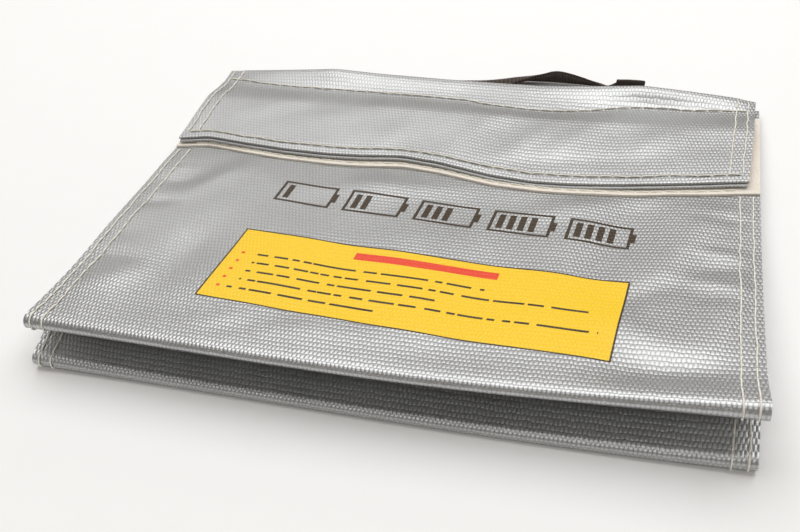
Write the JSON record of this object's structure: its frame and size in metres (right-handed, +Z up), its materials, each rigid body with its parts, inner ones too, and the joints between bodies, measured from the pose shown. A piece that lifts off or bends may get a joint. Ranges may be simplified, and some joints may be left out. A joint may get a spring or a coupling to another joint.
{
  "type": "battery charging bag",
  "caption": "Flat silver cloth bag with a folded-in gusset at the bottom, a fold-over flap with hook and loop tape, sewn side seams and a black webbing handle.",
  "frame": {"origin": "centre of the back panel's underside, on the table", "axes": "+X across the bag to its right, +Y from the gusseted bottom towards the flap's fold and the handle, +Z up from the table"},
  "size_m": [0.3, 0.2536, 0.0307],
  "materials": {
    "coated_cloth": "woven glass fibre with a silver coating, satin sheen",
    "loop_tape": "soft loop pile",
    "hook_tape": "fine hooks",
    "webbing": "ribbed black webbing",
    "sewing_thread": "cream sewing thread"
  },
  "bodies": {
    "body": {"lower_lip": "coated_cloth", "back_panel": "coated_cloth", "top_fold": "coated_cloth", "handle_end_left": "webbing", "handle_end_stitch_left": "sewing_thread", "handle_end_right": "webbing", "handle_end_stitch_right": "sewing_thread", "back_thread_left_outer": "sewing_thread", "back_thread_left_inner": "sewing_thread", "back_thread_right_outer": "sewing_thread", "back_thread_right_inner": "sewing_thread", "front_panel": "coated_cloth", "loop_tape": "loop_tape", "loop_tape_thread_front": "sewing_thread", "loop_tape_thread_back": "sewing_thread", "front_thread_left_outer": "sewing_thread", "front_thread_left_inner": "sewing_thread", "front_thread_right_outer": "sewing_thread", "front_thread_right_inner": "sewing_thread", "gusset_lower_wall": "coated_cloth", "gusset_lower_thread_left_outer": "sewing_thread", "gusset_lower_thread_left_inner": "sewing_thread", "gusset_lower_thread_right_outer": "sewing_thread", "gusset_lower_thread_right_inner": "sewing_thread"},
    "upper_gusset": {"front_lip": "coated_cloth", "gusset_upper_wall": "coated_cloth", "front_lip_thread_left_outer": "sewing_thread", "front_lip_thread_left_inner": "sewing_thread", "front_lip_thread_right_outer": "sewing_thread", "front_lip_thread_right_inner": "sewing_thread", "gusset_upper_thread_left_outer": "sewing_thread", "gusset_upper_thread_left_inner": "sewing_thread", "gusset_upper_thread_right_outer": "sewing_thread", "gusset_upper_thread_right_inner": "sewing_thread"},
    "flap": {"flap_cloth": "coated_cloth", "flap_lining": "coated_cloth", "hook_tape": "hook_tape", "flap_thread_top": "sewing_thread", "flap_thread_front": "sewing_thread", "flap_thread_left_outer": "sewing_thread", "flap_thread_left_inner": "sewing_thread", "flap_thread_right_outer": "sewing_thread", "flap_thread_right_inner": "sewing_thread"},
    "handle": {"handle_strap": "webbing"}
  },
  "joints": [
    {"name": "gusset_open", "type": "hinge", "parent": "body", "child": "upper_gusset", "pos_m": [0, -0.072, 0.0185], "axis": [-1, 0, 0], "range_deg": [0, 22]},
    {"name": "flap_fold", "type": "hinge", "parent": "body", "child": "flap", "pos_m": [0, 0.115, 0.01405], "axis": [-1, 0, 0], "range_deg": [0, 150]},
    {"name": "handle_swing", "type": "hinge", "parent": "body", "child": "handle", "pos_m": [0, 0.116, 0.00105], "axis": [1, 0, 0], "range_deg": [0, 40]}
  ]
}
